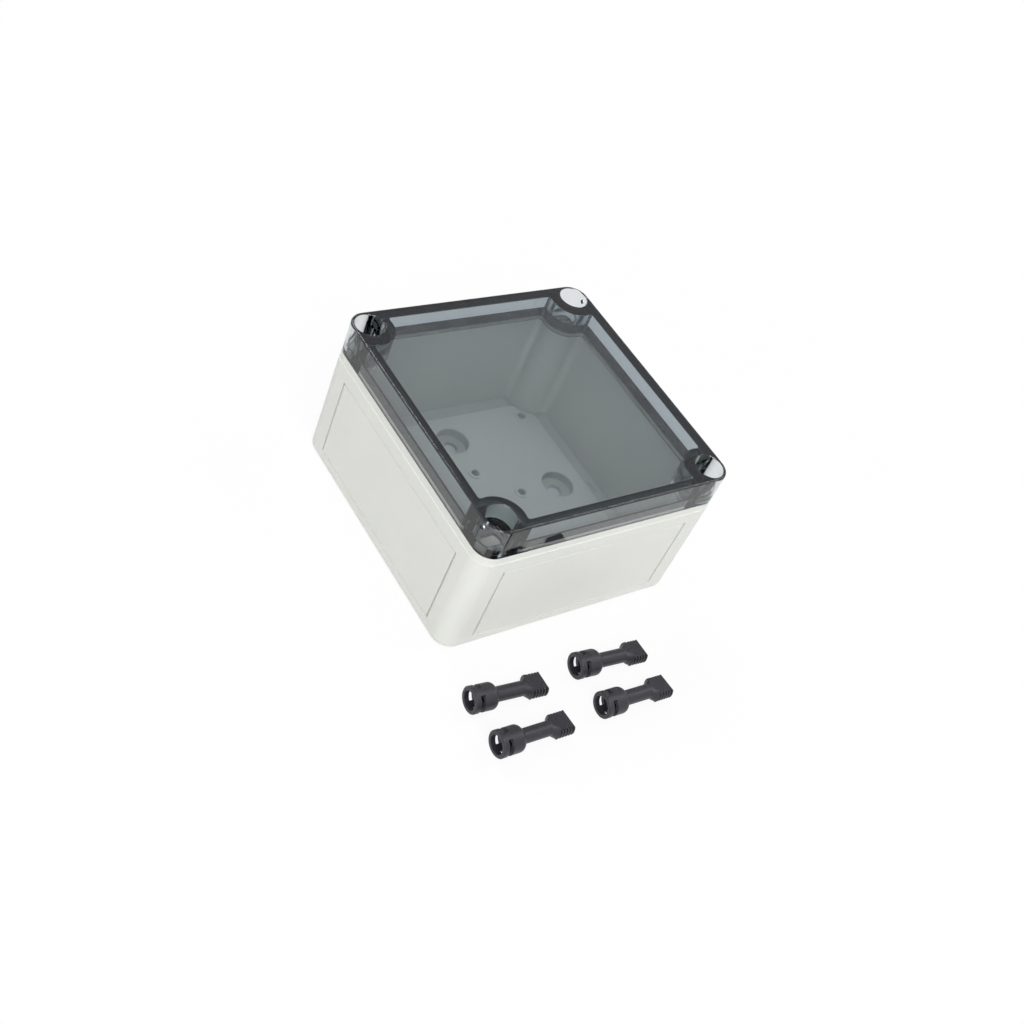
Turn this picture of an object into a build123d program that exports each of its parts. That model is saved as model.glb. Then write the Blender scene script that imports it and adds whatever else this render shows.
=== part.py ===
from build123d import *
import os
from math import atan2, cos, pi, sin

# Square wall-mounting electrical enclosure: a moulded base, a smoked see-through lid with
# a sealing cord in its groove, and four quarter-turn cover screws that lie loose beside it.
# Millimetres. The origin is the centre of the base's back face and +Z points out of the wall.

# Overall size
box_length = 130.0
box_width = 130.0
box_height = 75.0
base_height = 58.8
corner_radius = 8.8

# Cover screw axes, measured in from the outer faces
screw_inset = 8.6

# Base walls, floor and foot
base_wall = 3.4
moat_top = 4.0
floor_top = 6.5
plateau_inset = 11.5
plateau_post_gap = 1.0
wall_foot_radius = 2.0
bottom_edge_radius = 1.8
inner_corner_radius = 3.0

# Band under the lid and the outlined panel on each side
rim_band_height = 4.0
rim_step = 0.35
panel_end_margin = 14.5
panel_bottom = 5.3
panel_top_gap = 6.5
upright_groove_width = 1.1
upright_groove_depth = 1.1
level_groove_width = 0.7
level_groove_depth = 0.25

# Raised tongue that presses into the sealing cord
tongue_width = 1.2
tongue_height = 1.5

# Wall fixings: round pockets with a hole in the bottom
fixing_circle_radius = 38.7
pocket_radius = 8.2
pocket_floor = 1.9
fixing_hole_radius = 3.5

# Pilot holes in low bosses, for a mounting plate and for a small support
plate_pilot_offset = 45.5
support_circle_radius = 16.8
pilot_radius = 2.1
pilot_boss_radius = 3.5
pilot_boss_height = 0.5
pilot_depth = 5.0

# Back of the base: recess, ribs, pads and cored posts
back_recess_inset = 7.0
back_recess_depth = 3.4
back_rib_width = 2.0
back_pad_wall = 1.8
centre_pad_radius = 11.0
post_core_top = 33.0

# Moulded marks inside the wall on the +X side, and the slit at its foot
ejector_mark_radius = 1.3
ejector_mark_height = 0.3
ejector_mark_places = ((52.0, 11.5), (45.6, 13.0))
slit_length = 7.0
slit_width = 0.8
slit_depth = 0.6
slit_centre_y = -4.5
slit_wall_gap = 3.6

# Lid
lid_step = 0.3
lid_wall = 4.8
lid_plate = 2.5
lid_bore_radius = 6.8
lid_tube_wall = 5.0
lid_edge_radius = 0.9
lid_bore_chamfer = 0.3
groove_side_gap = 0.6
groove_depth = 6.2
cord_gap = 0.1
cord_edge_radius = 0.5

# Holes for a sealing wire in two opposite corners, level with the windows in the screw heads
seal_hole_radius = 1.0

# Cover screw, measured along its axis from the front of the head
screw_length = 35.9
head_length = 11.8
head_ring_length = 2.4
head_ring_radius = 6.0
head_radius = 5.9
head_edge_chamfer = 0.4
head_shoulder_radius = 2.5
head_recess = 0.1
cup_radius = 4.2
cup_depth = 6.0
window_length = 2.3
window_bridge_width = 3.3
window_turn = 12.0
drive_slot_width = 1.6
drive_slot_depth = 2.0
shank_radius = 3.3
collar_cone_length = 2.0
collar_length = 0.3
collar_flat_half = 3.4
thread_radius = 5.35
thread_depth = 1.1
thread_pitch = 1.5
thread_turns = 5
thread_crest_share = 0.35
thread_flat_half = 2.45
thread_clearance = 0.4

# Where the loose screws lie in front of the box, in two columns of two, a little unevenly:
# the heads' places, and each screw's heading in degrees. All are rolled a little off their flats.
screws_left_of_centre = 68.9
screws_gap = 28.5
screw_column_spacing = 55.2
screw_row_spacing = 22.2
screw_scatter = 0.5
screw_headings = (-4.9, -1.8, -4.6, -2.2)
screw_roll = 7.0

# Worked-out values
half_length = box_length / 2
half_width = box_width / 2
screw_x = half_length - screw_inset
screw_y = half_width - screw_inset
screw_points = [(sx * screw_x, sy * screw_y) for sx in (1, -1) for sy in (1, -1)]
lid_inset = lid_step + lid_wall
post_growth = lid_bore_radius + lid_tube_wall - lid_inset
post_radius = base_wall + post_growth
groove_outer = base_wall - tongue_width - groove_side_gap
groove_inner = base_wall + groove_side_gap
tube_floor_top = box_height - head_recess - head_length
bore_radius = thread_radius + thread_clearance
bore_flat_half = thread_flat_half + thread_clearance
barrel_end = head_length - head_shoulder_radius
thread_length = thread_pitch * thread_turns
thread_start = screw_length - thread_length
collar_start = thread_start - collar_length
cone_start = collar_start - collar_cone_length
lug_top = box_height - head_recess - thread_start
lug_bottom = box_height - head_recess - screw_length
bore_bottom = lug_bottom - thread_pitch
window_height = box_height - head_recess - head_ring_length - window_length / 2
left_column = -screws_left_of_centre
right_column = left_column + screw_column_spacing
screw_places = (
    (left_column, screws_gap),
    (left_column, screws_gap + screw_row_spacing),
    (right_column, screws_gap + screw_scatter),
    (right_column, screws_gap + screw_row_spacing - screw_scatter),
)


def rounded_outline(inset):
    """Outer outline of the box, moved in by the inset."""
    with BuildSketch() as outline:
        RectangleRounded(
            box_length - 2 * inset, box_width - 2 * inset, corner_radius - inset
        )
    return outline.sketch


def stepped_outline(inset, hole_radius):
    """Inner outline at an inset from the outer faces, stepping round the four posts."""
    with BuildSketch() as outline:
        Rectangle(box_length - 2 * inset, box_width - 2 * inset)
        with Locations(*screw_points):
            Circle(hole_radius, mode=Mode.SUBTRACT)
        fillet(outline.vertices(), inner_corner_radius)
    return outline.sketch


def seal_outline(inset):
    """The room's outline in the base, moved to another inset along walls and posts alike."""
    with BuildSketch() as outline:
        add(stepped_outline(base_wall, post_radius))
        offset(amount=base_wall - inset, mode=Mode.REPLACE)
    return outline.sketch


def double_d(radius, flat_half):
    """Disc with two flats, the shape of the screw's collar and threaded end."""
    with BuildSketch() as outline:
        Circle(radius)
        Rectangle(2 * radius, 2 * flat_half, mode=Mode.INTERSECT)
    return outline.sketch


def side_planes():
    """One plane on each outer side, with the length of that side."""
    for turn in range(4):
        out_x = round(cos(turn * pi / 2))
        out_y = round(sin(turn * pi / 2))
        centre = (out_x * half_length, out_y * half_width, 0)
        face = Plane(origin=centre, x_dir=(-out_y, out_x, 0), z_dir=(out_x, out_y, 0))
        yield face, abs(out_y) * box_length + abs(out_x) * box_width


# Base
with BuildPart() as base:
    with BuildSketch():
        add(rounded_outline(0))
    extrude(amount=base_height)
    fillet(base.edges().group_by(Axis.Z)[0], bottom_edge_radius)
    with BuildSketch(Plane.XY.offset(base_height - rim_band_height)):
        Rectangle(box_length + corner_radius, box_width + corner_radius)
        add(rounded_outline(rim_step), mode=Mode.SUBTRACT)
    extrude(amount=rim_band_height, mode=Mode.SUBTRACT)
    # Room inside, with a rounded foot along the walls and posts
    with BuildSketch(Plane.XY.offset(moat_top)):
        add(stepped_outline(base_wall, post_radius))
    extrude(amount=base_height - moat_top, mode=Mode.SUBTRACT)
    foot_edges = base.edges().filter_by_position(Axis.Z, moat_top, moat_top)
    fillet(foot_edges, wall_foot_radius)
    # Raised floor, with its pockets, bosses and pilot holes
    with BuildSketch(Plane.XY.offset(moat_top)):
        add(stepped_outline(plateau_inset, post_radius + plateau_post_gap))
    extrude(amount=floor_top - moat_top)
    with BuildSketch(Plane.XY.offset(floor_top)):
        with GridLocations(2 * plate_pilot_offset, 2 * plate_pilot_offset, 2, 2):
            Circle(pilot_boss_radius)
        with PolarLocations(support_circle_radius, 4):
            Circle(pilot_boss_radius)
    extrude(amount=pilot_boss_height)
    with BuildSketch(Plane.XY.offset(floor_top)):
        with PolarLocations(fixing_circle_radius, 4):
            Circle(pocket_radius)
    extrude(amount=pocket_floor - floor_top, mode=Mode.SUBTRACT)
    # Back recess between the rim, the ribs, the pads and the bosses
    with BuildSketch():
        add(stepped_outline(back_recess_inset, post_radius))
        Rectangle(box_length, back_rib_width, mode=Mode.SUBTRACT)
        Rectangle(back_rib_width, box_width, mode=Mode.SUBTRACT)
        Circle(centre_pad_radius, mode=Mode.SUBTRACT)
        with PolarLocations(fixing_circle_radius, 4):
            Circle(pocket_radius + back_pad_wall, mode=Mode.SUBTRACT)
        with GridLocations(2 * plate_pilot_offset, 2 * plate_pilot_offset, 2, 2):
            Circle(pilot_boss_radius, mode=Mode.SUBTRACT)
        with PolarLocations(support_circle_radius, 4):
            Circle(pilot_boss_radius, mode=Mode.SUBTRACT)
    extrude(amount=back_recess_depth, mode=Mode.SUBTRACT)
    # Holes from the front
    with BuildSketch(Plane.XY.offset(pocket_floor)):
        with PolarLocations(fixing_circle_radius, 4):
            Circle(fixing_hole_radius)
    extrude(amount=-pocket_floor, mode=Mode.SUBTRACT)
    with BuildSketch(Plane.XY.offset(floor_top + pilot_boss_height)):
        with GridLocations(2 * plate_pilot_offset, 2 * plate_pilot_offset, 2, 2):
            Circle(pilot_radius)
        with PolarLocations(support_circle_radius, 4):
            Circle(pilot_radius)
    extrude(amount=-pilot_depth, mode=Mode.SUBTRACT)
    # Screw bores: round above, flat-sided between the lugs, with grooves for the threads
    with BuildSketch(Plane.XY.offset(lug_top)):
        with Locations(*screw_points):
            Circle(bore_radius)
    extrude(amount=base_height - lug_top, mode=Mode.SUBTRACT)
    with BuildSketch(Plane.XY.offset(bore_bottom)):
        with Locations(*screw_points):
            add(double_d(bore_radius, bore_flat_half))
    extrude(amount=lug_top - bore_bottom, mode=Mode.SUBTRACT)
    for turn in range(thread_turns):
        with BuildSketch(Plane.XY.offset(lug_bottom + turn * thread_pitch)):
            with Locations(*screw_points):
                Circle(bore_radius)
        extrude(amount=thread_pitch * (1 - thread_crest_share), mode=Mode.SUBTRACT)
    # Cores that keep the posts' walls even, open at the back
    with BuildSketch():
        with Locations(*screw_points):
            Circle(bore_radius)
    extrude(amount=post_core_top, mode=Mode.SUBTRACT)
    # Tongue round the opening
    with BuildSketch(Plane.XY.offset(base_height)):
        add(seal_outline(base_wall - tongue_width))
        add(stepped_outline(base_wall, post_radius), mode=Mode.SUBTRACT)
    extrude(amount=tongue_height)
    # Grooves that outline a panel on each side: deep upright ones and shallow level ones
    panel_top = base_height - rim_band_height - panel_top_gap
    panel_middle = (panel_top + panel_bottom) / 2
    panel_height = panel_top - panel_bottom
    for face, side_length in side_planes():
        panel_length = side_length - 2 * panel_end_margin
        with BuildSketch(face):
            with Locations((0, panel_middle)):
                with GridLocations(panel_length - upright_groove_width, 1, 2, 1):
                    Rectangle(upright_groove_width, panel_height)
        extrude(amount=-upright_groove_depth, mode=Mode.SUBTRACT)
        with BuildSketch(face):
            with Locations((0, panel_middle)):
                with GridLocations(1, panel_height - level_groove_width, 1, 2):
                    Rectangle(panel_length, level_groove_width)
        extrude(amount=-level_groove_depth, mode=Mode.SUBTRACT)
    # Moulded marks on the inside of the +X wall, and the slit at its foot
    with BuildSketch(Plane.YZ.offset(half_length - base_wall - ejector_mark_height)):
        with Locations(*ejector_mark_places):
            Circle(ejector_mark_radius)
    extrude(amount=2 * ejector_mark_height)
    with BuildSketch(Plane.XY.offset(moat_top)):
        with Locations((half_length - base_wall - slit_wall_gap, slit_centre_y)):
            Rectangle(slit_width, slit_length)
    extrude(amount=-slit_depth, mode=Mode.SUBTRACT)
base.part.label = "base"

# Lid
with BuildPart() as lid:
    with BuildSketch(Plane.XY.offset(base_height)):
        add(rounded_outline(lid_step))
    extrude(amount=box_height - base_height)
    fillet(lid.edges().group_by(Axis.Z)[-1], lid_edge_radius)
    with BuildSketch(Plane.XY.offset(base_height)):
        add(seal_outline(lid_inset))
    extrude(amount=box_height - lid_plate - base_height, mode=Mode.SUBTRACT)
    with BuildSketch(Plane.XY.offset(base_height)):
        add(seal_outline(groove_outer))
        add(seal_outline(groove_inner), mode=Mode.SUBTRACT)
    extrude(amount=groove_depth, mode=Mode.SUBTRACT)
    with BuildSketch(Plane.XY.offset(tube_floor_top)):
        with Locations(*screw_points):
            Circle(lid_bore_radius)
    extrude(amount=box_height - tube_floor_top, mode=Mode.SUBTRACT)
    with BuildSketch(Plane.XY.offset(base_height)):
        with Locations(*screw_points):
            add(double_d(bore_radius, collar_flat_half + thread_clearance))
    extrude(amount=tube_floor_top - base_height, mode=Mode.SUBTRACT)
    top_edges = lid.edges().group_by(Axis.Z)[-1]
    bore_edges = top_edges.filter_by(GeomType.CIRCLE).filter_by(
        lambda edge: abs(edge.radius - lid_bore_radius) < lid_bore_chamfer
    )
    chamfer(bore_edges, lid_bore_chamfer)
    # Sealing-wire holes: one through the outer side into the bore of two opposite corners
    for side in (1, -1):
        with BuildSketch(Plane.YZ.offset(side * screw_x)):
            with Locations((side * screw_y, window_height)):
                Circle(seal_hole_radius)
        extrude(amount=side * screw_inset, mode=Mode.SUBTRACT)
lid.part.label = "lid"

# Sealing cord in the lid's groove
with BuildPart() as gasket:
    with BuildSketch(Plane.XY.offset(base_height + tongue_height)):
        add(seal_outline(groove_outer + cord_gap))
        add(seal_outline(groove_inner - cord_gap), mode=Mode.SUBTRACT)
    extrude(amount=groove_depth - tongue_height)
    fillet(gasket.edges().group_by(Axis.Z)[0], cord_edge_radius)
gasket.part.label = "gasket"


def cover_screw(name, head_x, gap, heading):
    """A cover screw lying on its head, nearly level, the gap away from the front face.

    The head's front faces back along the heading.
    """
    tilt = atan2(head_ring_radius - head_radius, barrel_end - head_ring_length)
    turn = heading * pi / 180
    roll = screw_roll * pi / 180
    along = Vector(cos(tilt) * cos(turn), cos(tilt) * sin(turn), -sin(tilt))
    across = Vector(-sin(turn), cos(turn), 0)
    upright = along.cross(across)
    head_z = head_ring_length * sin(tilt) + head_ring_radius * cos(tilt)
    head_centre = (head_x, -half_width - gap, head_z)
    # Local x runs along the screw and local y across it, level
    level = Plane(origin=head_centre, x_dir=along, z_dir=upright)
    rolled = across * cos(roll) - upright * sin(roll)
    front = Plane(origin=head_centre, x_dir=rolled, z_dir=along)
    with BuildPart() as screw:
        with BuildSketch(level):
            with BuildLine():
                shoulder_foot = head_radius - head_shoulder_radius
                rim = Polyline(
                    (0, 0),
                    (0, head_ring_radius - head_edge_chamfer),
                    (head_edge_chamfer, head_ring_radius),
                    (head_ring_length, head_ring_radius),
                    (head_ring_length, head_radius),
                    (barrel_end, head_radius),
                )
                shoulder = CenterArc(
                    (barrel_end, shoulder_foot), head_shoulder_radius, 0, 90
                )
                shank = Polyline(
                    (head_length, shoulder_foot),
                    (head_length, shank_radius),
                    (cone_start, shank_radius),
                    (collar_start, thread_radius - thread_clearance),
                    (collar_start, thread_radius),
                    (thread_start, thread_radius),
                )
                crest = thread_pitch * thread_crest_share
                slope = (thread_pitch - crest) / 2
                tooth_ends = [(thread_start, thread_radius)]
                for tooth in range(thread_turns):
                    at = thread_start + tooth * thread_pitch
                    tooth_ends.append((at + slope, thread_radius - thread_depth))
                    tooth_ends.append((at + 2 * slope, thread_radius))
                    tooth_ends.append((at + thread_pitch, thread_radius))
                threads = Polyline(*tooth_ends)
                tip = Polyline((screw_length, thread_radius), (screw_length, 0), (0, 0))
            make_face()
        revolve(axis=Axis(head_centre, along))
        # Flats on the collar, and closer ones on the threaded end
        for start, flat_half in ((cone_start, collar_flat_half), (thread_start, thread_flat_half)):
            with BuildSketch(front.offset(start)):
                Circle(2 * thread_radius)
                Rectangle(4 * thread_radius, 2 * flat_half, mode=Mode.SUBTRACT)
            extrude(amount=screw_length, mode=Mode.SUBTRACT)
        # Cup for the driver, with its slot
        with BuildSketch(front):
            Circle(cup_radius)
        extrude(amount=cup_depth, mode=Mode.SUBTRACT)
        with BuildSketch(front.offset(cup_depth)):
            Rectangle(2 * cup_radius, drive_slot_width)
        extrude(amount=drive_slot_depth, mode=Mode.SUBTRACT)
        # Two windows that leave a bridge above and below
        with BuildSketch(front.offset(head_ring_length)):
            Circle(2 * head_radius)
            Rectangle(
                window_bridge_width,
                4 * head_radius,
                rotation=window_turn,
                mode=Mode.SUBTRACT,
            )
        extrude(amount=window_length, mode=Mode.SUBTRACT)
    screw.part.label = name
    return screw.part


os.makedirs("parts", exist_ok=True)
export_step(base.part, "parts/base.step")
export_step(lid.part, "parts/lid.step")
export_step(gasket.part, "parts/gasket.step")
for number, (place, heading) in enumerate(zip(screw_places, screw_headings), start=1):
    name = f"cover_screw_{number}"
    export_step(cover_screw(name, *place, heading), f"parts/{name}.step")
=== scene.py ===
"""Looks for a square electrical enclosure with a smoked see-through lid and four cover screws.

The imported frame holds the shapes. This script gives every piece its finish, and adds the studio.
Lengths are metres, in the frame's own axes: the box's back face lies on the floor and +Z is up.
"""
import logging
import math
from dataclasses import dataclass
from enum import Enum

import bmesh
import bpy
from mathutils import Matrix, Vector


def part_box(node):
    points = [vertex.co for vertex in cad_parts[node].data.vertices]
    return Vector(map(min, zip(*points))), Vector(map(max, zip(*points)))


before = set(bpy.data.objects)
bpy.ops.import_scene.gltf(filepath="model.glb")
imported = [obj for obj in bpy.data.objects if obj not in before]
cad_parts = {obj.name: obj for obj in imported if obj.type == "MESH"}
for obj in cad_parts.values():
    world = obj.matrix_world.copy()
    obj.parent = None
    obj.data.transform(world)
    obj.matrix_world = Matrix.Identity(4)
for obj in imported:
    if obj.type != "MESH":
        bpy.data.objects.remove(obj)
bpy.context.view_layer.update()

log = logging.getLogger("enclosure")

MM = 0.001
WHITE = (1.0, 1.0, 1.0)
DUST = (0.6, 0.6, 0.58)

Colour = tuple[float, float, float]


class NodeKind(Enum):
    """Shader nodes that the finishes use."""

    BUMP = "ShaderNodeBump"
    BEVEL = "ShaderNodeBevel"
    COORDINATES = "ShaderNodeTexCoord"
    DIFFUSE = "ShaderNodeBsdfDiffuse"
    EMISSION = "ShaderNodeEmission"
    GEOMETRY = "ShaderNodeNewGeometry"
    GROUP = "ShaderNodeGroup"
    LIGHT_PATH = "ShaderNodeLightPath"
    MATHS = "ShaderNodeMath"
    MIX = "ShaderNodeMix"
    MIX_SHADER = "ShaderNodeMixShader"
    NOISE = "ShaderNodeTexNoise"
    RANGE = "ShaderNodeMapRange"
    SEPARATE = "ShaderNodeSeparateXYZ"
    VECTOR_MATHS = "ShaderNodeVectorMath"
    VOLUME = "ShaderNodeVolumeAbsorption"


class SocketKind(Enum):
    """Sockets of the shared effect groups."""

    VALUE = "NodeSocketFloat"
    VECTOR = "NodeSocketVector"


class NodeDesk:
    """Adds nodes to one tree and links them."""

    def __init__(self, tree: bpy.types.NodeTree) -> None:
        """Starts from an empty tree.

        Args:
            tree: the node tree to fill.
        """
        self.tree = tree
        self.column = 0

    def add(self, kind: NodeKind, **settings: object) -> bpy.types.Node:
        """Adds one node.

        Args:
            kind: the node to add.
            **settings: its attributes, such as operation.

        Returns:
            The new node.
        """
        node = self.tree.nodes.new(kind.value)
        node.location = (self.column * 200, 0)
        self.column += 1
        for name, value in settings.items():
            setattr(node, name, value)
        return node

    def put(self, socket: bpy.types.NodeSocket, value: object) -> None:
        """Links a socket, or gives it a plain value.

        Args:
            socket: the input.
            value: an output socket to link, or a number or colour.
        """
        if isinstance(value, bpy.types.NodeSocket):
            self.tree.links.new(value, socket)
        else:
            socket.default_value = value

    def maths(self, operation: str, first: object, second: object = 0.0) -> bpy.types.NodeSocket:
        """Adds a sum of two values.

        Args:
            operation: Blender's name of the sum, such as MULTIPLY.
            first: a socket or a number.
            second: a socket or a number.

        Returns:
            The result's socket.
        """
        node = self.add(NodeKind.MATHS, operation=operation)
        self.put(node.inputs[0], first)
        self.put(node.inputs[1], second)
        return node.outputs[0]

    def noise(
        self, place: bpy.types.NodeSocket, scale: object, detail: float, rough: float
    ) -> bpy.types.NodeSocket:
        """Adds fractal noise.

        Args:
            place: the coordinates.
            scale: bumps per metre, as a socket or a number.
            detail: the number of octaves.
            rough: how much each octave keeps.

        Returns:
            The noise value, about 0 to 1.
        """
        node = self.add(NodeKind.NOISE)
        self.put(node.inputs["Vector"], place)
        self.put(node.inputs["Scale"], scale)
        self.put(node.inputs["Detail"], detail)
        self.put(node.inputs["Roughness"], rough)
        return node.outputs["Fac"]

    def spread(
        self,
        value: bpy.types.NodeSocket,
        low: float,
        high: float,
        to_low: object,
        to_high: object,
    ) -> bpy.types.NodeSocket:
        """Maps a value from one range to another, and stops at its ends.

        Args:
            value: the value to map.
            low: the start of its range.
            high: the end of its range.
            to_low: the result at the start.
            to_high: the result at the end.

        Returns:
            The mapped value.
        """
        node = self.add(NodeKind.RANGE, clamp=True)
        self.put(node.inputs["Value"], value)
        self.put(node.inputs["From Min"], low)
        self.put(node.inputs["From Max"], high)
        self.put(node.inputs["To Min"], to_low)
        self.put(node.inputs["To Max"], to_high)
        return node.outputs["Result"]

    def tint(
        self, share: object, first: object, second: object, blend: str = "MIX"
    ) -> bpy.types.NodeSocket:
        """Mixes two colours.

        Args:
            share: how much of the second, as a socket or a number.
            first: a colour or its socket.
            second: a colour or its socket.
            blend: Blender's name of the blend.

        Returns:
            The mixed colour.
        """
        node = self.add(NodeKind.MIX, data_type="RGBA", blend_type=blend)
        factor, one, two = (s for s in node.inputs if s.enabled)
        self.put(factor, share)
        self.put(one, first)
        self.put(two, second)
        return next(s for s in node.outputs if s.enabled)

    def stretched(
        self, place: bpy.types.NodeSocket, shares: tuple[float, float, float]
    ) -> bpy.types.NodeSocket:
        """Stretches the coordinates, so that a noise on them runs in streaks.

        Args:
            place: the coordinates.
            shares: the factor on each axis. A small one makes long streaks along it.

        Returns:
            The stretched coordinates.
        """
        node = self.add(NodeKind.VECTOR_MATHS, operation="MULTIPLY")
        self.put(node.inputs[0], place)
        self.put(node.inputs[1], shares)
        return node.outputs[0]

    def height_of(self, place: bpy.types.NodeSocket) -> bpy.types.NodeSocket:
        """Gives the height part of the coordinates.

        Args:
            place: the coordinates.

        Returns:
            The height's socket.
        """
        node = self.add(NodeKind.SEPARATE)
        self.put(node.inputs[0], place)
        return node.outputs["Z"]

    def effect(self, group: bpy.types.NodeTree, **values: object) -> bpy.types.Node:
        """Places a shared effect.

        Args:
            group: the effect's node group.
            **values: its inputs by name, with _ for a space.

        Returns:
            The group node.
        """
        node = self.add(NodeKind.GROUP, node_tree=group)
        for name, value in values.items():
            self.put(node.inputs[name.replace("_", " ")], value)
        return node


def rgba(colour: Colour) -> tuple[float, float, float, float]:
    """Gives a colour its alpha."""
    return (*colour, 1.0)


class SharedEffects:
    """Node groups that more than one finish uses, each built once."""

    fine_pitch: float = 2.7
    coarse_share: float = 0.65
    fine_share: float = 0.35
    speck_pitch: float = 0.23
    speck_band: tuple[float, float] = (0.68, 0.74)
    edge_samples: int = 4
    edge_band: tuple[float, float] = (0.995, 0.93)
    break_band: tuple[float, float] = (0.36, 0.62)
    least_rub: float = 0.35
    smear_band: tuple[float, float] = (0.45, 0.75)
    dust_pitch: float = 70.0
    dust_band: tuple[float, float] = (0.70, 0.78)
    streak_stretch: tuple[float, float, float] = (1.0, 1.0, 0.04)
    streak_band: tuple[float, float] = (0.35, 0.65)
    first_wipe: tuple[float, float, float] = (1.0, 0.012, 1.0)
    second_wipe: tuple[float, float, float] = (0.015, 1.0, 1.0)
    line_band: tuple[float, float] = (0.72, 0.80)

    def __init__(self) -> None:
        """Builds the groups."""
        self.moulded_grain = self._moulded_grain()
        self.rubbed_edges = self._rubbed_edges()
        self.handling = self._handling()
        self.draw_marks = self._draw_marks()
        self.hairlines = self._hairlines()

    def _start(
        self,
        name: str,
        inputs: dict[str, tuple[SocketKind, float]],
        outputs: dict[str, SocketKind],
    ) -> tuple[NodeDesk, bpy.types.Node, bpy.types.Node]:
        """Starts a group with its sockets.

        Args:
            name: the group's name.
            inputs: socket names with their kind and default.
            outputs: socket names with their kind.

        Returns:
            The group's desk, its input node and its output node.
        """
        tree = bpy.data.node_groups.new(name, "ShaderNodeTree")
        for socket, (kind, value) in inputs.items():
            made = tree.interface.new_socket(socket, in_out="INPUT", socket_type=kind.value)
            if kind is SocketKind.VALUE:
                made.default_value = value
        for socket, kind in outputs.items():
            tree.interface.new_socket(socket, in_out="OUTPUT", socket_type=kind.value)
        given = tree.nodes.new("NodeGroupInput")
        result = tree.nodes.new("NodeGroupOutput")
        return NodeDesk(tree), given, result

    def _moulded_grain(self) -> bpy.types.NodeTree:
        """Makes the fine spark grain of a mould, with slow patches in it.

        Returns:
            The node group.
        """
        desk, given, result = self._start(
            "Moulded Grain",
            {
                "Place": (SocketKind.VECTOR, 0.0),
                "Grain": (SocketKind.VALUE, 3000.0),
                "Patches": (SocketKind.VALUE, 40.0),
            },
            {"Height": SocketKind.VALUE, "Patch": SocketKind.VALUE, "Speck": SocketKind.VALUE},
        )
        place = given.outputs["Place"]
        coarse = desk.noise(place, given.outputs["Grain"], 2.0, 0.6)
        finer = desk.maths("MULTIPLY", given.outputs["Grain"], self.fine_pitch)
        fine = desk.noise(place, finer, 2.0, 0.7)
        broad = desk.maths("MULTIPLY", coarse, self.coarse_share)
        grain = desk.maths("ADD", broad, desk.maths("MULTIPLY", fine, self.fine_share))
        desk.put(result.inputs["Height"], grain)
        desk.put(result.inputs["Patch"], desk.noise(place, given.outputs["Patches"], 3.0, 0.5))
        wider = desk.maths("MULTIPLY", given.outputs["Grain"], self.speck_pitch)
        speck = desk.noise(place, wider, 1.0, 0.5)
        desk.put(result.inputs["Speck"], desk.spread(speck, *self.speck_band, 0.0, 1.0))
        return desk.tree

    def _rubbed_edges(self) -> bpy.types.NodeTree:
        """Finds the edges, rounds their shading and says where hands and tools rub them.

        Returns:
            The node group.
        """
        desk, given, result = self._start(
            "Rubbed Edges",
            {
                "Place": (SocketKind.VECTOR, 0.0),
                "Radius": (SocketKind.VALUE, 0.0003),
                "Breaks": (SocketKind.VALUE, 300.0),
            },
            {"Mask": SocketKind.VALUE, "Normal": SocketKind.VECTOR},
        )
        round_edge = desk.add(NodeKind.BEVEL, samples=self.edge_samples)
        desk.put(round_edge.inputs["Radius"], given.outputs["Radius"])
        facing = desk.add(NodeKind.GEOMETRY)
        turned = desk.add(NodeKind.VECTOR_MATHS, operation="DOT_PRODUCT")
        desk.put(turned.inputs[0], round_edge.outputs["Normal"])
        desk.put(turned.inputs[1], facing.outputs["Normal"])
        edge = desk.spread(turned.outputs["Value"], *self.edge_band, 0.0, 1.0)
        breaks = desk.noise(given.outputs["Place"], given.outputs["Breaks"], 3.0, 0.6)
        worn = desk.spread(breaks, *self.break_band, self.least_rub, 1.0)
        desk.put(result.inputs["Mask"], desk.maths("MULTIPLY", edge, worn))
        desk.put(result.inputs["Normal"], round_edge.outputs["Normal"])
        return desk.tree

    def _handling(self) -> bpy.types.NodeTree:
        """Makes the faint smears and dust that handling leaves.

        Returns:
            The node group.
        """
        desk, given, result = self._start(
            "Handling",
            {"Place": (SocketKind.VECTOR, 0.0), "Smears": (SocketKind.VALUE, 25.0)},
            {"Smear": SocketKind.VALUE, "Dust": SocketKind.VALUE},
        )
        place = given.outputs["Place"]
        smear = desk.noise(place, given.outputs["Smears"], 4.0, 0.55)
        desk.put(result.inputs["Smear"], desk.spread(smear, *self.smear_band, 0.0, 1.0))
        finer = desk.maths("MULTIPLY", given.outputs["Smears"], self.dust_pitch)
        dust = desk.noise(place, finer, 2.0, 0.5)
        desk.put(result.inputs["Dust"], desk.spread(dust, *self.dust_band, 0.0, 1.0))
        return desk.tree

    def _draw_marks(self) -> bpy.types.NodeTree:
        """Makes the faint upright streaks that a mould leaves along its pull.

        Returns:
            The node group.
        """
        desk, given, result = self._start(
            "Draw Marks",
            {"Place": (SocketKind.VECTOR, 0.0), "Streaks": (SocketKind.VALUE, 450.0)},
            {"Streak": SocketKind.VALUE},
        )
        place = desk.stretched(given.outputs["Place"], self.streak_stretch)
        streak = desk.noise(place, given.outputs["Streaks"], 2.0, 0.5)
        desk.put(result.inputs["Streak"], desk.spread(streak, *self.streak_band, 0.0, 1.0))
        return desk.tree

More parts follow.
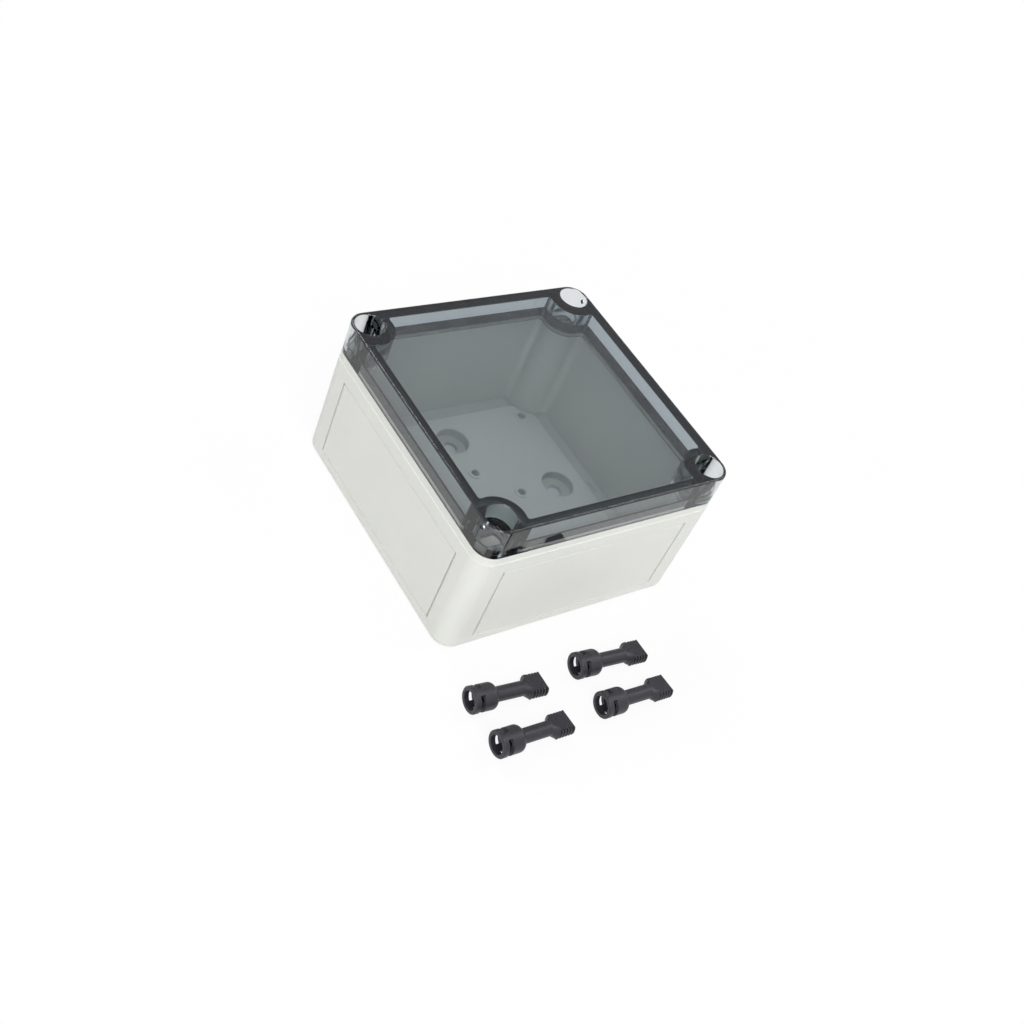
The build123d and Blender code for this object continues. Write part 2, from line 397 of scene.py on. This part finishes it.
    def _hairlines(self) -> bpy.types.NodeTree:
        """Makes the fine scratches that wiping leaves, in two crossing directions.

        Returns:
            The node group.
        """
        desk, given, result = self._start(
            "Hairlines",
            {"Place": (SocketKind.VECTOR, 0.0), "Lines": (SocketKind.VALUE, 2200.0)},
            {"Line": SocketKind.VALUE},
        )
        place, lines = given.outputs["Place"], given.outputs["Lines"]
        first = desk.noise(desk.stretched(place, self.first_wipe), lines, 1.0, 0.5)
        second = desk.noise(desk.stretched(place, self.second_wipe), lines, 1.0, 0.5)
        deepest = desk.maths("MAXIMUM", first, second)
        desk.put(result.inputs["Line"], desk.spread(deepest, *self.line_band, 0.0, 1.0))
        return desk.tree


@dataclass
class Look:
    """A material in the making: its surface, and the layers laid so far."""

    made: bpy.types.Material
    desk: NodeDesk
    surface: bpy.types.Node
    place: bpy.types.NodeSocket
    colour: object
    roughness: object
    height: object
    normal: object

    def stain(self, mask: object, colour: Colour) -> None:
        """Lays a colour over the surface.

        Args:
            mask: where and how strongly, 0 to 1.
            colour: the colour to lay there.
        """
        self.colour = self.desk.tint(mask, self.colour, rgba(colour))

    def roughen(self, mask: object, change: float) -> None:
        """Changes the roughness.

        Args:
            mask: where and how strongly, 0 to 1.
            change: what a full mask adds. A change below zero polishes.
        """
        more = self.desk.maths("MULTIPLY", mask, change)
        self.roughness = self.desk.maths("ADD", self.roughness, more)

    def emboss(self, relief: object, share: float) -> None:
        """Adds a relief to the grain.

        Args:
            relief: its height, 0 to 1.
            share: how high it is beside the grain. A share below zero cuts in.
        """
        more = self.desk.maths("MULTIPLY", relief, share)
        self.height = self.desk.maths("ADD", self.height, more)

    def close(self, depth: float, strength: float) -> bpy.types.Material:
        """Links the layers to the surface.

        Args:
            depth: the height that a full bump stands for.
            strength: how much of the bump shows.

        Returns:
            The finished material.
        """
        self.desk.put(self.surface.inputs["Base Color"], self.colour)
        self.desk.put(self.surface.inputs["Roughness"], self.roughness)
        bump = self.desk.add(NodeKind.BUMP)
        self.desk.put(bump.inputs["Strength"], strength)
        self.desk.put(bump.inputs["Distance"], depth)
        self.desk.put(bump.inputs["Height"], self.height)
        self.desk.put(bump.inputs["Normal"], self.normal)
        self.desk.put(self.surface.inputs["Normal"], bump.outputs["Normal"])
        return self.made


@dataclass(frozen=True)
class PlasticFinish:
    """Moulded opaque plastic or rubber, with grain, patches and rubbed edges."""

    name: str
    colour: Colour
    roughness: float
    specular: float = 0.5
    grain: float = 2600.0
    patches: float = 30.0
    patch_tone: float = 0.03
    edge_radius: float = 0.25 * MM
    edge_tone: Colour = WHITE
    edge_share: float = 0.12
    edge_polish: float = -0.10
    speck_tone: Colour = (0.2, 0.2, 0.2)
    speck_share: float = 0.06
    dust_and_shade_share: float = 0.0
    smear_polish: float = -0.05
    patch_band: tuple[float, float] = (0.3, 0.7)
    patch_swing: float = 0.04

    def lay(self, effects: SharedEffects) -> Look:
        """Lays the colour, the grain and the rubbed edges.

        Args:
            effects: the shared node groups.

        Returns:
            The look, open for further layers.
        """
        made, desk, surface, place = start_material(self.name)
        grain = desk.effect(
            effects.moulded_grain, Place=place, Grain=self.grain, Patches=self.patches
        )
        edges = desk.effect(effects.rubbed_edges, Place=place, Radius=self.edge_radius)
        handling = desk.effect(effects.handling, Place=place)
        patch = grain.outputs["Patch"]
        tone = desk.spread(patch, *self.patch_band, 1.0 - self.patch_tone, 1.0)
        smooth, rough = self.roughness - self.patch_swing, self.roughness + self.patch_swing
        look = Look(
            made=made,
            desk=desk,
            surface=surface,
            place=place,
            colour=desk.tint(1.0, rgba(self.colour), tone, "MULTIPLY"),
            roughness=desk.spread(patch, *self.patch_band, smooth, rough),
            height=grain.outputs["Height"],
            normal=edges.outputs["Normal"],
        )
        specks = desk.maths("MULTIPLY", grain.outputs["Speck"], self.speck_share)
        look.stain(specks, self.speck_tone)
        look.stain(desk.maths("MULTIPLY", edges.outputs["Mask"], self.edge_share), self.edge_tone)
        look.stain(desk.maths("MULTIPLY", handling.outputs["Dust"], self.dust_and_shade_share), DUST)
        look.roughen(handling.outputs["Smear"], self.smear_polish)
        look.roughen(edges.outputs["Mask"], self.edge_polish)
        surface.inputs["Specular IOR Level"].default_value = self.specular
        return look


@dataclass(frozen=True)
class SmokedFinish:
    """Smoked clear plastic that darkens with its thickness."""

    name: str
    refraction: float = 1.585
    absorbed: Colour = (131.0, 112.0, 103.0)
    density_room: float = 1.1
    roughness: float = 0.015
    smear_roughness: float = 0.03
    wave_pitch: float = 35.0
    edge_radius: float = 0.35 * MM

    def lay(self, effects: SharedEffects) -> Look:
        """Lays the clear surface and the smoke behind it.

        Args:
            effects: the shared node groups.

        Returns:
            The look, open for further layers.
        """
        made, desk, surface, place = start_material(self.name)
        handling = desk.effect(effects.handling, Place=place)
        edges = desk.effect(effects.rubbed_edges, Place=place, Radius=self.edge_radius)
        surface.inputs["Transmission Weight"].default_value = 1.0
        surface.inputs["IOR"].default_value = self.refraction
        density = max(self.absorbed) * self.density_room
        smoke = desk.add(NodeKind.VOLUME)
        smoke.inputs["Color"].default_value = rgba(tuple(1.0 - a / density for a in self.absorbed))
        smoke.inputs["Density"].default_value = density
        output = next(n for n in desk.tree.nodes if n.type == "OUTPUT_MATERIAL")
        desk.put(output.inputs["Volume"], smoke.outputs["Volume"])
        smear = handling.outputs["Smear"]
        return Look(
            made=made,
            desk=desk,
            surface=surface,
            place=place,
            colour=rgba(WHITE),
            roughness=desk.spread(smear, 0.0, 1.0, self.roughness, self.smear_roughness),
            height=desk.noise(place, self.wave_pitch, 1.0, 0.4),
            normal=edges.outputs["Normal"],
        )


def start_material(
    name: str,
) -> tuple[bpy.types.Material, NodeDesk, bpy.types.Node, bpy.types.NodeSocket]:
    """Starts a material with one surface shader.

    Args:
        name: the material's name.

    Returns:
        The material, its desk, its surface node and its object coordinates.
    """
    made = bpy.data.materials.new(name)
    made.use_nodes = True
    desk = NodeDesk(made.node_tree)
    surface = next(n for n in made.node_tree.nodes if n.type == "BSDF_PRINCIPLED")
    place = desk.add(NodeKind.COORDINATES).outputs["Object"]
    return made, desk, surface, place


@dataclass
class FramePiece:
    """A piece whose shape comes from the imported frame."""

    node: str

    def wear(self, made: bpy.types.Material) -> bpy.types.Object:
        """Puts one material in every slot of the piece.

        Args:
            made: the material.

        Returns:
            The dressed object.
        """
        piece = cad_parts[self.node]
        if not piece.material_slots:
            piece.data.materials.append(made)
        for slot in piece.material_slots:
            slot.material = made
        return piece


@dataclass
class EnclosureBase(FramePiece):
    """The light-grey moulding with its posts, pockets, bosses and side panels."""

    node: str = "base"
    finish: PlasticFinish = PlasticFinish(
        name="light_grey_plastic",
        colour=(0.708, 0.716, 0.676),
        roughness=0.48,
        edge_share=0.25,
    )
    grain_depth: float = 0.012 * MM
    grain_strength: float = 0.5
    foot_height: float = 2.5 * MM
    foot_tone: Colour = (0.42, 0.42, 0.40)
    foot_share: float = 0.10
    foot_blots: float = 260.0
    foot_roughness: float = 0.12
    streak_tone: Colour = (0.62, 0.63, 0.60)
    streak_share: float = 0.05
    streak_roughness: float = 0.03
    floor_top: float = 6.5 * MM
    room_reach: float = 61.4 * MM
    # painted shade in the recesses: how far in from the walls it fades, how deep below the floor's
    # top it reaches, its colour, share and roughness
    shade_edge: float = 1.0 * MM
    shade_full: float = 1.2 * MM
    shade_start: float = 0.1 * MM
    recess_shade_tone: Colour = (0.30, 0.32, 0.31)
    dust_and_shade_share: float = 0.36
    recess_shade_roughness: float = 0.1

    def build(self, effects: SharedEffects) -> bpy.types.Object:
        """Dresses the moulding.

        Args:
            effects: the shared node groups.

        Returns:
            The dressed base.
        """
        look = self.finish.lay(effects)
        self.streak_walls(look, effects)
        self.scuff_foot(look)
        self.paint_recess_shade(look)
        return self.wear(look.close(self.grain_depth, self.grain_strength))

    def streak_walls(self, look: Look, effects: SharedEffects) -> None:
        """Lays the mould's faint upright streaks.

        Args:
            look: the base's look.
            effects: the shared node groups.
        """
        marks = look.desk.effect(effects.draw_marks, Place=look.place)
        streak = marks.outputs["Streak"]
        look.stain(look.desk.maths("MULTIPLY", streak, self.streak_share), self.streak_tone)
        look.roughen(streak, self.streak_roughness)

    def scuff_foot(self, look: Look) -> None:
        """Dulls the lowest edge, where the box is set down and pushed about.

        Args:
            look: the base's look.
        """
        desk = look.desk
        low = desk.spread(desk.height_of(look.place), 0.0, self.foot_height, 1.0, 0.0)
        worn = desk.maths("MULTIPLY", low, desk.noise(look.place, self.foot_blots, 3.0, 0.6))
        look.stain(desk.maths("MULTIPLY", worn, self.foot_share), self.foot_tone)
        look.roughen(worn, self.foot_roughness)

    def paint_recess_shade(self, look: Look) -> None:
        """Paints shade into the pockets, the pilot holes and the channel round the floor,
        darkening them below the floor's top.

        Args:
            look: the base's look.
        """
        desk = look.desk
        parts = desk.add(NodeKind.SEPARATE)
        desk.put(parts.inputs[0], look.place)
        sides = [desk.maths("ABSOLUTE", parts.outputs[axis]) for axis in ("X", "Y")]
        reach = desk.maths("MAXIMUM", *sides)
        inside = desk.spread(reach, self.room_reach, self.room_reach + self.shade_edge, 1.0, 0.0)
        full, start = self.floor_top - self.shade_full, self.floor_top - self.shade_start
        low = desk.spread(parts.outputs["Z"], full, start, 1.0, 0.0)
        recess_shade = desk.maths("MULTIPLY", inside, low)
        # painted shade: the recesses below the floor's top, inside the walls, are darkened and
        # made rougher, standing in for the shade that falls there
        look.stain(desk.maths("MULTIPLY", recess_shade, self.dust_and_shade_share), self.recess_shade_tone)
        look.roughen(recess_shade, self.recess_shade_roughness)


@dataclass
class SeeThroughLid(FramePiece):
    """The smoked clear lid, wiped and handled, with its four bores and its seal groove."""

    node: str = "lid"
    finish: SmokedFinish = SmokedFinish(name="smoked_clear_plastic")
    wave_depth: float = 0.02 * MM
    wave_strength: float = 0.3
    scratch_share: float = -0.02
    scratch_roughness: float = 0.08

    def build(self, effects: SharedEffects) -> bpy.types.Object:
        """Dresses the moulding.

        Args:
            effects: the shared node groups.

        Returns:
            The dressed lid.
        """
        look = self.finish.lay(effects)
        lines = look.desk.effect(effects.hairlines, Place=look.place)
        look.emboss(lines.outputs["Line"], self.scratch_share)
        look.roughen(lines.outputs["Line"], self.scratch_roughness)
        return self.wear(look.close(self.wave_depth, self.wave_strength))


@dataclass
class SealingCord(FramePiece):
    """The dark rubber cord in the lid's groove."""

    node: str = "gasket"
    finish: PlasticFinish = PlasticFinish(
        name="seal_rubber",
        colour=(0.030, 0.031, 0.033),
        roughness=0.75,
        specular=0.3,
        grain=1500.0,
        patch_tone=0.2,
        edge_tone=(0.08, 0.08, 0.08),
    )
    grain_depth: float = 0.03 * MM
    grain_strength: float = 0.5

    def build(self, effects: SharedEffects) -> bpy.types.Object:
        """Dresses the cord.

        Args:
            effects: the shared node groups.

        Returns:
            The dressed cord.
        """
        look = self.finish.lay(effects)
        return self.wear(look.close(self.grain_depth, self.grain_strength))


@dataclass
class CoverScrews:
    """The four loose dark plastic screws, all moulded from one plastic."""

    nodes: tuple[str, ...] = tuple(f"cover_screw_{number}" for number in range(1, 5))
    finish: PlasticFinish = PlasticFinish(
        name="dark_screw_plastic",
        colour=(0.021, 0.019, 0.026),
        roughness=0.42,
        grain=3400.0,
        patch_tone=0.15,
        specular=0.4,
        edge_tone=(0.20, 0.20, 0.22),
        edge_share=0.2,
        dust_and_shade_share=0.05,
    )
    grain_depth: float = 0.012 * MM
    grain_strength: float = 0.5

    def build(self, effects: SharedEffects) -> list[bpy.types.Object]:
        """Dresses the screws.

        Args:
            effects: the shared node groups.

        Returns:
            The dressed screws.
        """
        made = self.finish.lay(effects).close(self.grain_depth, self.grain_strength)
        return [FramePiece(node).wear(made) for node in self.nodes]


@dataclass(frozen=True)
class SoftBox:
    """A studio lamp that looks at the middle of the object."""

    name: str
    azimuth: float
    elevation: float
    distance: float
    width: float
    height: float
    power: float

    def build(self, target: Vector) -> bpy.types.Object:
        """Places the lamp.

        Args:
            target: the point it looks at.

        Returns:
            The lamp.
        """
        data = bpy.data.lights.new(self.name, "AREA")
        data.shape = "ELLIPSE"
        data.size = self.width
        data.size_y = self.height
        data.energy = self.power
        lamp = bpy.data.objects.new(self.name, data)
        bpy.context.scene.collection.objects.link(lamp)
        back = away(self.azimuth, self.elevation)
        lamp.location = target + back * self.distance
        lamp.rotation_euler = back.to_track_quat("Z", "Y").to_euler()
        return lamp


def away(azimuth: float, elevation: float) -> Vector:
    """Turns a view's angles into the direction from the object.

    Args:
        azimuth: degrees round the object, 0 in front at -Y and 90 at +X.
        elevation: degrees above the floor.

    Returns:
        The unit direction.
    """
    turn, rise = math.radians(azimuth), math.radians(elevation)
    level = math.cos(rise)
    return Vector((math.sin(turn) * level, -math.cos(turn) * level, math.sin(rise)))


@dataclass
class Studio:
    """White floor, soft light and the camera."""

    camera_place: tuple[float, float, float] = (-0.34726, -0.29739, 0.43096)
    camera_azimuth: float = -50.76
    camera_elevation: float = 42.93
    camera_roll: float = 26.17
    lens: float = 46.87
    sensor: float = 36.0
    nearest: float = 0.01
    floor_radius: float = 8.0
    floor_sides: int = 96
    floor_gap: float = 0.05 * MM
    floor_colour: Colour = (0.72, 0.72, 0.72)
    floor_veil: float = 0.90
    veil_edge: float = 3.0 * MM
    white_from: tuple[float, float] = (0.22, 0.55)
    box_corner: float = 8.8 * MM
    room_light: float = 0.43
    flag_azimuth: float = 129.0
    flag_elevation: float = 43.0
    flag_inner: float = 20.0
    flag_outer: float = 36.0
    flag_colour: Colour = (0.58, 0.59, 0.63)
    lamps: tuple[SoftBox, ...] = (
        SoftBox("key_lamp", -36.0, 51.0, 1.8, 1.4, 1.4, 28.0),
        SoftBox("back_lamp", 180.0, 46.0, 1.5, 0.9, 0.9, 8.3),
        SoftBox("side_lamp", 78.0, 48.0, 1.5, 0.9, 0.9, 4.5),
    )

    def build(self) -> None:
        """Builds the whole studio."""
        self.build_camera()
        self.build_world()
        self.build_floor()
        low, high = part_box("base")
        for lamp in self.lamps:
            lamp.build((low + high) / 2)
        bpy.context.scene.view_settings.view_transform = "Standard"

    def build_camera(self) -> None:
        """Places the camera at the photograph's viewpoint."""
        data = bpy.data.cameras.new("photo_camera")
        data.sensor_width = self.sensor
        data.lens = self.lens
        data.clip_start = self.nearest
        camera = bpy.data.objects.new("photo_camera", data)
        bpy.context.scene.collection.objects.link(camera)
        turn = Matrix.Rotation(math.radians(self.camera_azimuth), 4, "Z")
        rise = Matrix.Rotation(math.radians(90.0 - self.camera_elevation), 4, "X")
        roll = Matrix.Rotation(math.radians(self.camera_roll), 4, "Z")
        camera.matrix_world = Matrix.Translation(self.camera_place) @ turn @ rise @ roll
        bpy.context.scene.camera = camera

    def build_world(self) -> None:
        """Lights the room softly, white where the camera, gloss and glass see it.

        A grey flag hangs where the flat lid would mirror the room to the camera.
        """
        world = bpy.data.worlds.new("studio_room")
        bpy.context.scene.world = world
        world.use_nodes = True
        desk = NodeDesk(world.node_tree)
        level = desk.spread(seen_directly(desk), 0.0, 1.0, self.room_light, 1.0)
        toward = desk.add(NodeKind.VECTOR_MATHS, operation="DOT_PRODUCT")
        desk.put(toward.inputs[0], desk.add(NodeKind.COORDINATES).outputs["Generated"])
        desk.put(toward.inputs[1], away(self.flag_azimuth, self.flag_elevation))
        rim = math.cos(math.radians(self.flag_outer))
        middle = math.cos(math.radians(self.flag_inner))
        flag = desk.spread(toward.outputs["Value"], rim, middle, 0.0, 1.0)
        background = next(n for n in world.node_tree.nodes if n.type == "BACKGROUND")
        colour = desk.tint(flag, rgba(WHITE), rgba(self.flag_colour))
        desk.put(background.inputs["Color"], colour)
        desk.put(background.inputs["Strength"], level)

    def build_floor(self) -> None:
        """Lays a white floor that keeps a soft shadow."""
        mesh = bpy.data.meshes.new("studio_floor")
        shape = bmesh.new()
        bmesh.ops.create_circle(
            shape, cap_ends=True, radius=self.floor_radius, segments=self.floor_sides
        )
        bmesh.ops.translate(shape, vec=(0.0, 0.0, -self.floor_gap), verts=shape.verts)
        shape.to_mesh(mesh)
        shape.free()
        floor = bpy.data.objects.new("studio_floor", mesh)
        bpy.context.scene.collection.objects.link(floor)
        made = bpy.data.materials.new("white_floor")
        made.use_nodes = True
        desk = NodeDesk(made.node_tree)
        unused = next(n for n in made.node_tree.nodes if n.type == "BSDF_PRINCIPLED")
        made.node_tree.nodes.remove(unused)
        paper = desk.add(NodeKind.DIFFUSE)
        paper.inputs["Color"].default_value = rgba(self.floor_colour)
        glow = desk.add(NodeKind.EMISSION)
        glow.inputs["Color"].default_value = rgba(WHITE)
        glow.inputs["Strength"].default_value = 1.0
        blend = desk.add(NodeKind.MIX_SHADER)
        veil = desk.maths("MULTIPLY", seen_directly(desk), self.thicken_veil(desk))
        desk.put(blend.inputs[0], desk.maths("MULTIPLY", veil, self.beyond_the_box(desk)))
        desk.put(blend.inputs[1], paper.outputs[0])
        desk.put(blend.inputs[2], glow.outputs[0])
        output = next(n for n in made.node_tree.nodes if n.type == "OUTPUT_MATERIAL")
        desk.put(output.inputs["Surface"], blend.outputs[0])
        mesh.materials.append(made)

    def thicken_veil(self, desk: NodeDesk) -> bpy.types.NodeSocket:
        """Lets the floor grow plain white away from the object, so that no horizon shows.

        Args:
            desk: the floor material's desk.

        Returns:
            The share of plain white.
        """
        far = desk.add(NodeKind.VECTOR_MATHS, operation="LENGTH")
        desk.put(far.inputs[0], desk.add(NodeKind.COORDINATES).outputs["Object"])
        near, end = self.white_from
        return desk.spread(far.outputs["Value"], near, end, self.floor_veil, 1.0)

    def beyond_the_box(self, desk: NodeDesk) -> bpy.types.NodeSocket:
        """Leaves the floor under the box plain, so that its fixing holes show no glow.

        Args:
            desk: the floor material's desk.

        Returns:
            0 under the box and 1 beside it.
        """
        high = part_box("base")[1]
        place = desk.add(NodeKind.SEPARATE)
        desk.put(place.inputs[0], desk.add(NodeKind.COORDINATES).outputs["Object"])
        squares = []
        for axis, reach in (("X", high.x), ("Y", high.y)):
            across = desk.maths("ABSOLUTE", place.outputs[axis])
            past = desk.maths("SUBTRACT", across, reach - self.box_corner)
            squares.append(desk.maths("POWER", desk.maths("MAXIMUM", past, 0.0), 2.0))
        reached = desk.maths("SQRT", desk.maths("ADD", *squares))
        inner = self.box_corner - self.veil_edge
        return desk.spread(reached, inner, self.box_corner, 0.0, 1.0)


def seen_directly(desk: NodeDesk) -> bpy.types.NodeSocket:
    """Says whether the camera, gloss or glass looks at this point.

    Args:
        desk: the material's or the world's desk.

    Returns:
        1 for such a ray, and 0 for the light that other surfaces take from here.
    """
    path = desk.add(NodeKind.LIGHT_PATH)
    gloss = desk.maths("MAXIMUM", path.outputs["Is Camera Ray"], path.outputs["Is Glossy Ray"])
    return desk.maths("MAXIMUM", gloss, path.outputs["Is Transmission Ray"])


def main() -> None:
    """Builds the studio and dresses each piece."""
    logging.basicConfig(level=logging.INFO, format="%(name)s: %(message)s")
    Studio().build()
    effects = SharedEffects()
    pieces = [
        EnclosureBase().build(effects),
        SeeThroughLid().build(effects),
        SealingCord().build(effects),
        *CoverScrews().build(effects),
    ]
    for piece in pieces:
        finish = piece.material_slots[0].material.name
        log.info("%s is finished in %s, %d faces", piece.name, finish, len(piece.data.polygons))


if __name__ == "__main__":
    main()
